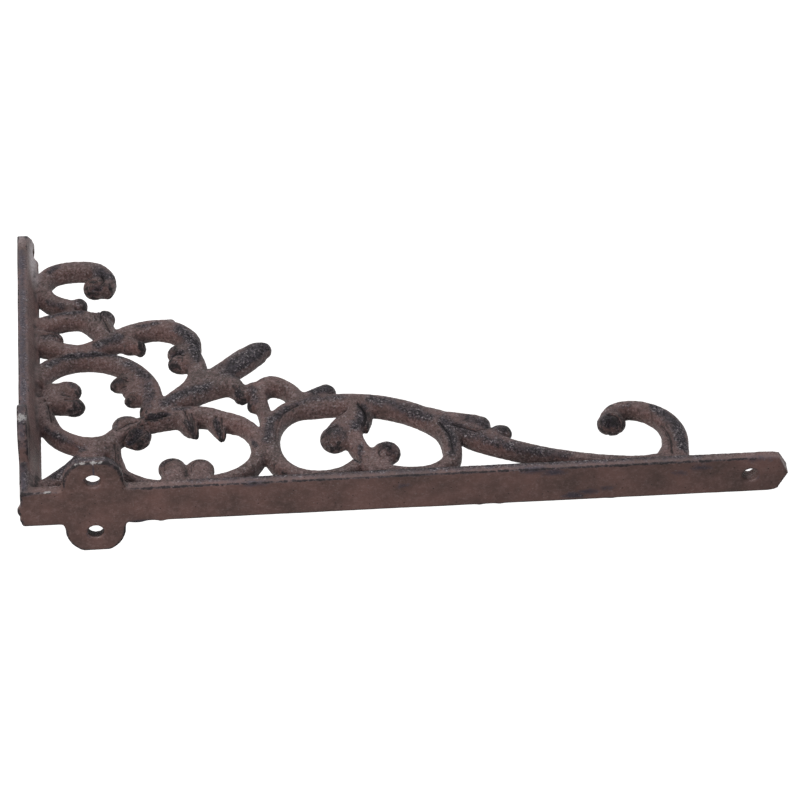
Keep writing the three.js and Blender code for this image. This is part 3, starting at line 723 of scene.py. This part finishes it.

    # Grime and painted shade in the hollows, grime along the sharp edges and in the pinholes, and bare iron
    # with painted highlights where the rim is chipped
    # Grime and painted shade in the hollows
    hollow_dirt_and_shade = node(RANGE, None, (node(MATH, MULTIPLY_ADD, (grit, 0.7, hollow)), 0.47, 1.05))
    arris = node(RANGE, None, (node(MATH, ADD, (edge, ragged)), 0.65, 0.9))
    pinhole = node(RANGE, None, (pits, 0.16, 0.08))
    pinhole = node(MATH, MULTIPLY, (pinhole, node(RANGE, None, (chance, 0.55, 0.62))))
    dark = hollow_dirt_and_shade
    for other in (arris, pinhole, shadowed, lines):
        dark = node(MATH, MAXIMUM, (dark, other))
    # Near-black grime, with the painted shade of the hollows
    grime_and_shade = node(MATH, MULTIPLY, (dark, 0.85))
    colour = node(MIX, COLOURS, {0: grime_and_shade, 6: colour, 7: tone["hollow"]}).outputs[2]
    # Pale silver for the chips and for painted highlights on the same spots
    silver_chips_and_highlights = node(RANGE, None, (node(MATH, MULTIPLY_ADD, (grit, 2.4, spots(CHIPS_AND_HIGHLIGHTS))), 1.62, 1.82))
    colour = node(MIX, COLOURS, {0: silver_chips_and_highlights, 6: colour, 7: tone["bare"]}).outputs[2]

    # The skin's small relief, calm on the flanges
    height = node(MATH, MULTIPLY, (mottle, 0.7))
    height = node(MATH, MULTIPLY_ADD, (grit, 0.7, height))
    height = node(MATH, MULTIPLY_ADD, (dust, 0.45, height))
    height = node(MATH, MULTIPLY_ADD, (node(MATH, MAXIMUM, (pinhole, lines)), -0.5, height))
    strength = node(MATH, MULTIPLY_ADD, (crust, node(MATH, MULTIPLY_ADD, (worn_and_sheen, 0.25, 0.75)), 0.04))
    bump = node("ShaderNodeBump", None, {"Strength": strength, "Distance": 2.6 * MM, "Height": height})

    rough = node(RANGE, None, (mottle, 0.3, 0.7, 0.42, 0.62))
    shader = node("ShaderNodeBsdfPrincipled", None, {
        "Base Color": colour,
        "Roughness": node(MATH, MULTIPLY_ADD, (dark, 0.2, rough)),
        "Metallic": node(MATH, MULTIPLY, (node(MATH, MAXIMUM, (worn_and_sheen, silver_chips_and_highlights)), 0.3)),
        "Normal": bump,
    })
    node("ShaderNodeOutputMaterial", None, {"Surface": shader})
    return material


def lit_white_sweep():
    """Opal acrylic lit from below, as under small goods in a studio: an even, shadowless pale ground."""
    material = bpy.data.materials.new("lit_opal_acrylic")
    material.use_nodes = True
    shader = material.node_tree.nodes["Principled BSDF"]
    shader.inputs["Base Color"].default_value = linear("#F4F3F1")
    shader.inputs["Roughness"].default_value = 0.9
    shader.inputs["Emission Color"].default_value = linear("#FFFFFF")
    shader.inputs["Emission Strength"].default_value = 0.8
    return material


# Settings

class BracketSizes(bpy.types.PropertyGroup):
    voxel: FloatProperty(
        name="Skin spacing", description="Distance between the skin's points", default=0.00062, min=0.0003,
        unit="LENGTH", subtype="DISTANCE", precision=5,
    )
    steps: IntProperty(
        name="Steps", description="Places along a strand between two of its stations", default=8, min=2,
    )
    rounding: IntProperty(
        name="Edge rounding", description="How many times the skin is evened, which rounds its edges",
        default=3, min=0,
    )
    swell: FloatProperty(
        name="Swell", description="How far the vine's skin stands out to make up for the evening",
        default=0.00014, min=0, unit="LENGTH", subtype="DISTANCE", precision=5,
    )
    heel: FloatProperty(
        name="Heel corner", description="Radius of the heel's upright corners", default=0.0022, min=0.0005,
        unit="LENGTH", subtype="DISTANCE", precision=4,
    )
    fillet: IntProperty(
        name="Fillet", description="How many times the corners between strands are filled",
        default=16, min=0,
    )
    relief: FloatProperty(
        name="Relief", description="Depth of the carving, as a share of the measured depth",
        default=1.0, min=0, max=2, subtype="FACTOR",
    )
    back_relief: FloatProperty(
        name="Back relief", description="The same on the plainer back",
        default=0.45, min=0, max=2, subtype="FACTOR",
    )
    wave: FloatProperty(
        name="Waviness", description="Height of the skin's long waves",
        default=0.00028, min=0, unit="LENGTH", subtype="DISTANCE", precision=5,
    )
    grain: FloatProperty(
        name="Grain", description="Height of the sand's grain",
        default=0.00045, min=0, unit="LENGTH", subtype="DISTANCE", precision=5,
    )


class BracketColours(bpy.types.PropertyGroup):
    paint: StringProperty(name="Paint", description="Brown paint where it is sound", default="#664B46")
    shade: StringProperty(name="Thin paint", description="Brown paint where it is darker", default="#463531")
    light: StringProperty(name="Light paint", description="Paint dulled by handling", default="#8D7472")
    # Also the painted sheen on the fronts
    iron: StringProperty(name="Worn edge", description="Iron showing along the edges", default="#393540")
    # Rubbed specks, and also the painted reflection at the leg's point
    rubbed: StringProperty(name="Rubbed", description="Bright specks of rubbed iron", default="#AEA5A6")
    # Grime, and painted shade in grooves, corners and bores
    hollow: StringProperty(name="Hollow", description="Grime in grooves and corners", default="#140F0E")
    # Also painted highlights on the chipped rims
    bare: StringProperty(name="Bare iron", description="Bare patch on the leg's ear", default="#8E8C8A")


# Stage

FLOOR_HALF = 6.0
FLOOR_HEIGHT = -0.9
WORLD_STRENGTH = 0.25
STAGE_MIDDLE = Vector((0.15, 0, -0.03))

# Soft boxes: name, place from the middle and side in metres, watts, tint.
SOFT_BOXES = (
    ("key", (-0.5, 0.55, 0.74), 0.6, 9.6, "#FFF8F5"),
    ("fill", (0.15, 1.2, 0.35), 1.1, 4.7, "#E0E8FF"),
)

# The photograph's camera, fitted to both flanges and the holes: place in millimetres, its right, up and back.
CAMERA_PLACE = (57.30, 1110.35, 1180.81)
CAMERA_AXES = ((0.99695, 0.00726, 0.07767), (0.04718, 0.73681, -0.67445), (-0.06212, 0.67606, 0.73423))
CAMERA_LENS = 175.86


# Operators

class BRACKET_OT_casting(bpy.types.Operator):
    """Makes the iron casting: flanges, ears, vine and hook, with its carving, skin and paint"""

    bl_idname = "bracket.casting"
    bl_label = "Casting"

    def execute(self, context):
        sizes = context.scene.bracket_sizes
        colours = context.scene.bracket_colours
        paint = painted_cast_iron({name: getattr(colours, name) for name in colours.__annotations__})
        raw = self.gather(sizes, paint)
        mesh = self.skin(raw, sizes)
        self.carve(mesh, sizes)
        mesh = self.finish_skin(mesh, sizes, paint)
        self.mark_wear_and_shade(mesh)
        casting = put("cast_bracket", mesh)
        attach(casting, "root")
        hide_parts("bracket")
        return {"FINISHED"}

    def gather(self, sizes, paint):
        """Joins the solid with smooth strands, lobes and the mould's lumps in one mesh."""
        whole = bmesh.new()
        whole.from_mesh(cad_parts["bracket"].data)
        bmesh.ops.remove_doubles(whole, verts=whole.verts, dist=1e-6)
        strand_tree = vine_strand_tree()
        paths = [strand_samples(stations, sizes.steps) for stations in STRANDS.values()]
        paths += [ring_samples(*ring, sizes.steps) for ring in RINGS.values()]
        for samples in paths:
            points = [centre for centre, _ in samples]
            half = [width for _, width in samples]
            path = new_object("strand", points, [(i, i + 1) for i in range(len(points) - 1)])
            add_values(path.data, "half_width", half)
            flatness = [min(VINE_DEPTH / 2, w * STRAND_PROPORTION) / w for w in half]
            add_values(path.data, "flatness", flatness)
            strand = run_tree(path, strand_tree, {"Section Points": 24, "Fullness": 3.1, "Material": paint})
            whole.from_mesh(strand)
            bpy.data.meshes.remove(strand)
        points = new_object("lobes", [spot(*heart) for heart, _, _, _ in LOBES])
        reaches = [
            ((ARM_LENGTH - RAIL) * reach[0] / 100, depth / 2, (LEG_LENGTH - RAIL) * reach[1] / 100)
            for _, reach, _, depth in LOBES
        ]
        add_values(points.data, "reach", reaches, "FLOAT_VECTOR")
        turns = [(0, math.radians(turn), 0) for _, _, turn, _ in LOBES]
        add_values(points.data, "turn", turns, "FLOAT_VECTOR")
        lobes = run_tree(points, vine_lobe_tree(), {"Meridians": 24, "Parallels": 14, "Material": paint})
        whole.from_mesh(lobes)
        bpy.data.meshes.remove(lobes)
        for heart, reach in CASTING_LUMPS:
            spread = Matrix.Translation(Vector(heart) * MM) @ Matrix.Diagonal((*(r * MM for r in reach), 1))
            bmesh.ops.create_uvsphere(whole, u_segments=24, v_segments=14, radius=1, matrix=spread)
        mesh = bpy.data.meshes.new("casting")
        whole.to_mesh(mesh)
        whole.free()
        return put("casting", mesh)

    def skin(self, piece, sizes):
        """One closed skin over everything, then evened as cast edges are."""
        remesh = piece.modifiers.new("Skin", "REMESH")
        remesh.mode = "VOXEL"
        remesh.voxel_size = sizes.voxel
        remesh.adaptivity = 0
        mesh = take(piece)
        ends = edges_of(mesh)
        places = evened(places_of(mesh), ends, sizes.rounding)
        set_places(mesh, places)
        vine = np.clip((behind_faces(places) - FLANGE) / (1.5 * MM), 0, 1)[:, None]
        for _ in range(sizes.fillet):
            normals = normals_of(mesh)
            push = evened(places, ends, 1) - places
            outward = (push * normals).sum(1)[:, None] > 0
            places = places + push * np.where(outward, 1.0, 0.1) * vine
            set_places(mesh, places)
        places = places + normals_of(mesh) * vine * sizes.swell
        set_places(mesh, self.heel_rounded(places, sizes.heel))
        return mesh

    def heel_rounded(self, places, radius):
        """Rounds the two upright corners of the heel, as far down as the arm's flange."""
        side = HEEL_HALF_WIDTH - radius
        out = radius - places[:, 0]
        across = np.abs(places[:, 1]) - side
        reach = np.hypot(out, across)
        top = np.clip((places[:, 2] - (ARM_FACE - 7 * MM)) / (3 * MM), 0, 1)
        corner = (out > 0) & (across > 0) & (reach > radius)
        pull = np.where(corner, (radius / np.maximum(reach, 1e-9) - 1) * top, 0)
        moved = places.copy()
        moved[:, 0] = places[:, 0] - out * pull
        moved[:, 1] = places[:, 1] + np.sign(places[:, 1]) * across * pull
        return moved

    def carve(self, mesh, sizes):
        """Presses the grooves, spirals and pits into the front, and fainter into the back."""
        places = places_of(mesh)
        normals = normals_of(mesh)
        facing = np.clip((np.abs(normals[:, 1]) - 0.25) / 0.5, 0, 1)
        side = np.where(places[:, 1] > 0, sizes.relief, sizes.back_relief)
        depth = np.zeros(len(places))
        flat = places[:, (0, 2)]
        for width, deep, stations in GROOVES:
            path = [p for _, p in catmull([spot(*s) for s in stations], 6)]
            depth = np.maximum(depth, groove(flat, np.array(path)[:, (0, 2)], width * MM, deep * MM))
        for heart, first, last, turns, start, width, deep in SPIRALS:
            middle = spot(*heart)[[0, 2]]
            path = []
            for share in np.linspace(0, 1, 41):
                angle = math.radians(start) + math.tau * turns * share
                radius = between(first, last, share) * MM
                path.append(middle + radius * np.array((math.cos(angle), math.sin(angle))))
            depth = np.maximum(depth, groove(flat, np.array(path), width * MM, deep * MM))
        for heart, radius, deep in PITS:
            path = np.array([spot(*heart)[[0, 2]]] * 2)
            path[1, 0] += 1e-5
            depth = np.maximum(depth, groove(flat, path, 2 * radius * MM, deep * MM))
        push = (depth * facing * side)[:, None] * np.sign(places[:, 1])[:, None] * np.array((0.0, 1.0, 0.0))
        set_places(mesh, places - push)

    def finish_skin(self, mesh, sizes, paint):
        """Adds the sand's waves and grain, and thins the mesh to what it needs."""
        places = places_of(mesh)
        calm = np.clip(1 - (behind_faces(places) - 1.5 * MM) / (2 * MM), 0, 1) * 0.8
        leg_rail = (places[:, 0] < 8.2 * MM) & (places[:, 2] < 14 * MM)
        calm = np.maximum(calm, 0.5 * leg_rail)
        add_values(mesh, "calm", calm)
        mesh = run_tree(put("casting", mesh), sand_skin_tree(), {
            "Wave Height": sizes.wave, "Wave Length": WAVE_LENGTH,
            "Grain Height": sizes.grain, "Grain Length": GRAIN_LENGTH, "Material": paint,
        })
        mesh.name = "casting"
        piece = put("casting", mesh)
        triangles = 2 * len(mesh.polygons)
        thin = piece.modifiers.new("Thin", "DECIMATE")
        thin.ratio = min(1.0, TRIANGLES / triangles)
        thin.use_collapse_triangulate = True
        mesh = take(piece)
        mesh.name = "cast_bracket"
        mesh.polygons.foreach_set("use_smooth", [True] * len(mesh.polygons))
        mesh.update()
        return mesh

    def mark_wear_and_shade(self, mesh):
        """Marks edges, rims, hollows with their grime and painted shade (also in the bores), fronts, and
        rubbed patches with painted sheen on the fronts, for the paint to read.
        """
        places = places_of(mesh)
        ends = edges_of(mesh)
        normals = normals_of(mesh)
        # How far the skin stands out from a smoother skin: from sharp edges to broad swells
        near, broad, wide = (((places - evened(places, ends, n)) * normals).sum(1) for n in (4, 20, 60))
        edge = np.clip(near / (0.15 * MM), 0, 1)
        rim = np.clip((broad - 0.33 * MM) / (0.3 * MM), 0, 1)
        # Concave places: grime and painted shade together
        hollow = np.clip(-near / (0.12 * MM), 0, 1) * 0.6 + np.clip(-wide / (0.8 * MM), 0, 1) * 0.5
        # The crest of the leg's rail and the arm's point are less worn, the heel's edge is grimy
        spared = (places[:, 0] > 6 * MM) & (places[:, 0] < 10.5 * MM) & (places[:, 2] < 12 * MM)
        spared |= places[:, 0] > ARM_LENGTH - 12 * MM
        edge[spared] *= 0.35
        rim[spared] *= 0.35
        hollow[spared] *= 0.6
        hollow += 0.3 * ((places[:, 0] < FLANGE) & (places[:, 2] > -24 * MM) & (places[:, 2] < 22 * MM))
        for x, y in SCREW_HOLES:
            away = np.hypot(places[:, 0] - x * MM, places[:, 1] - y * MM)
            bore = np.clip((BORE_REACH - away) / (0.6 * MM), 0, 1) * (places[:, 2] > ARM_FACE - 6 * MM)
            edge *= 1 - bore
            hollow *= 1 - bore
            # Painted shade on the lower bore walls, near-black in the far hole and lighter in the near one
            hollow += bore * (0.8 if y < 0 else 0.3) * (places[:, 2] < ARM_FACE - 0.6 * MM)
        add_values(mesh, "edge", evened(edge[:, None], ends, 1)[:, 0])
        add_values(mesh, "rim", evened(rim[:, None], ends, 2)[:, 0])
        add_values(mesh, "hollow", np.clip(hollow, 0, 1))
        facing = evened(np.abs(normals[:, 1:2]), ends, 2)[:, 0]
        add_values(mesh, "front", np.clip(facing, 0, 1))
        flat = places[:, (0, 2)]
        soot = np.zeros(len(places))
        for width, strength, stations in SOOT:
            path = np.array([spot(*s) for s in stations])[:, (0, 2)]
            soot = np.maximum(soot, groove(flat, path, width * MM, strength))
        # Stronger on the fronts, partly as painted sheen
        soot *= np.clip((facing - 0.15) / 0.5, 0.25, 1)
        soot *= np.clip((ARM_FACE - places[:, 2]) / (1.5 * MM), 0, 1)
        add_values(mesh, "soot", soot)
        if "calm" not in mesh.attributes:
            raise RuntimeError("the skin lost its calm faces")


def behind_faces(places):
    """How far each place is behind the nearer outer face, the arm's or the leg's."""
    return np.minimum(ARM_FACE - places[:, 2], places[:, 0])


def groove(flat, path, width, deep):
    """Depth that a rounded groove along the path gives at each flat place."""
    low = path.min(0) - width
    high = path.max(0) + width
    inside = np.nonzero(((flat > low) & (flat < high)).all(1))[0]
    nearest = np.full(len(inside), 1e9)
    points = flat[inside]
    for a, b in zip(path[:-1], path[1:]):
        along = b - a
        share = np.clip(((points - a) @ along) / (along @ along), 0, 1)
        gap = np.linalg.norm(points - a - share[:, None] * along, axis=1)
        nearest = np.minimum(nearest, gap)
    depth = np.zeros(len(flat))
    depth[inside] = deep * np.exp(-((nearest / (width * 0.5)) ** 2) * 1.6)
    return depth


class BRACKET_OT_stage(bpy.types.Operator):
    """Sets the pale floor, the soft studio light and the camera at the photograph's angle"""

    bl_idname = "bracket.stage"
    bl_label = "Stage"

    def execute(self, context):
        scene = context.scene
        ways = ((-1, -1), (1, -1), (1, 1), (-1, 1))
        corners = [(x * FLOOR_HALF, y * FLOOR_HALF, FLOOR_HEIGHT) for x, y in ways]
        floor = new_object("floor", corners, (), [(0, 1, 2, 3)])
        floor.data.materials.append(lit_white_sweep())

        world = bpy.data.worlds.new("soft_white_room")
        world.use_nodes = True
        ground = world.node_tree.nodes["Background"]
        ground.inputs["Color"].default_value = linear("#FFFFFF")
        ground.inputs["Strength"].default_value = WORLD_STRENGTH
        scene.world = world
        scene.view_settings.view_transform = "Standard"
        for name, offset, size, watts, tint in SOFT_BOXES:
            self.soft_box(name, STAGE_MIDDLE + Vector(offset), STAGE_MIDDLE, size, watts, tint)

        camera = bpy.data.cameras.new("camera")
        camera.sensor_width = 36
        camera.lens = CAMERA_LENS
        camera.clip_end = 20
        holder = put("camera", camera)
        turn = Matrix(CAMERA_AXES).transposed().to_4x4()
        holder.matrix_world = Matrix.Translation(Vector(CAMERA_PLACE) * MM) @ turn
        scene.camera = holder
        return {"FINISHED"}

    def soft_box(self, name, place, aim, size, watts, tint):
        """A square soft box that faces its aim."""
        lamp = bpy.data.lights.new(name, "AREA")
        lamp.shape = "SQUARE"
        lamp.size = size
        lamp.energy = watts
        lamp.color = linear(tint)[:3]
        holder = put(name, lamp)
        turn = (aim - place).to_track_quat("-Z", "Y").to_matrix().to_4x4()
        holder.matrix_world = Matrix.Translation(place) @ turn


class BRACKET_PT_sidebar(bpy.types.Panel):
    """Lists the bracket's sizes, colours and operators"""

    bl_idname = "BRACKET_PT_sidebar"
    bl_label = "Plant hanger bracket"
    bl_space_type = "VIEW_3D"
    bl_region_type = "UI"
    bl_category = "Bracket"

    def draw(self, context):
        for group in (context.scene.bracket_sizes, context.scene.bracket_colours):
            for name in group.__annotations__:
                self.layout.prop(group, name)
        for operator in OPERATORS:
            self.layout.operator(operator.bl_idname)


OPERATORS = (BRACKET_OT_casting, BRACKET_OT_stage)
CLASSES = (BracketSizes, BracketColours, *OPERATORS, BRACKET_PT_sidebar)


def register():
    for cls in CLASSES:
        bpy.utils.register_class(cls)
    bpy.types.Scene.bracket_sizes = PointerProperty(type=BracketSizes)
    bpy.types.Scene.bracket_colours = PointerProperty(type=BracketColours)


def unregister():
    del bpy.types.Scene.bracket_colours
    del bpy.types.Scene.bracket_sizes
    for cls in reversed(CLASSES):
        bpy.utils.unregister_class(cls)


def main():
    register()
    bpy.ops.bracket.casting()
    bpy.ops.bracket.stage()


if __name__ == "__main__":
    main()
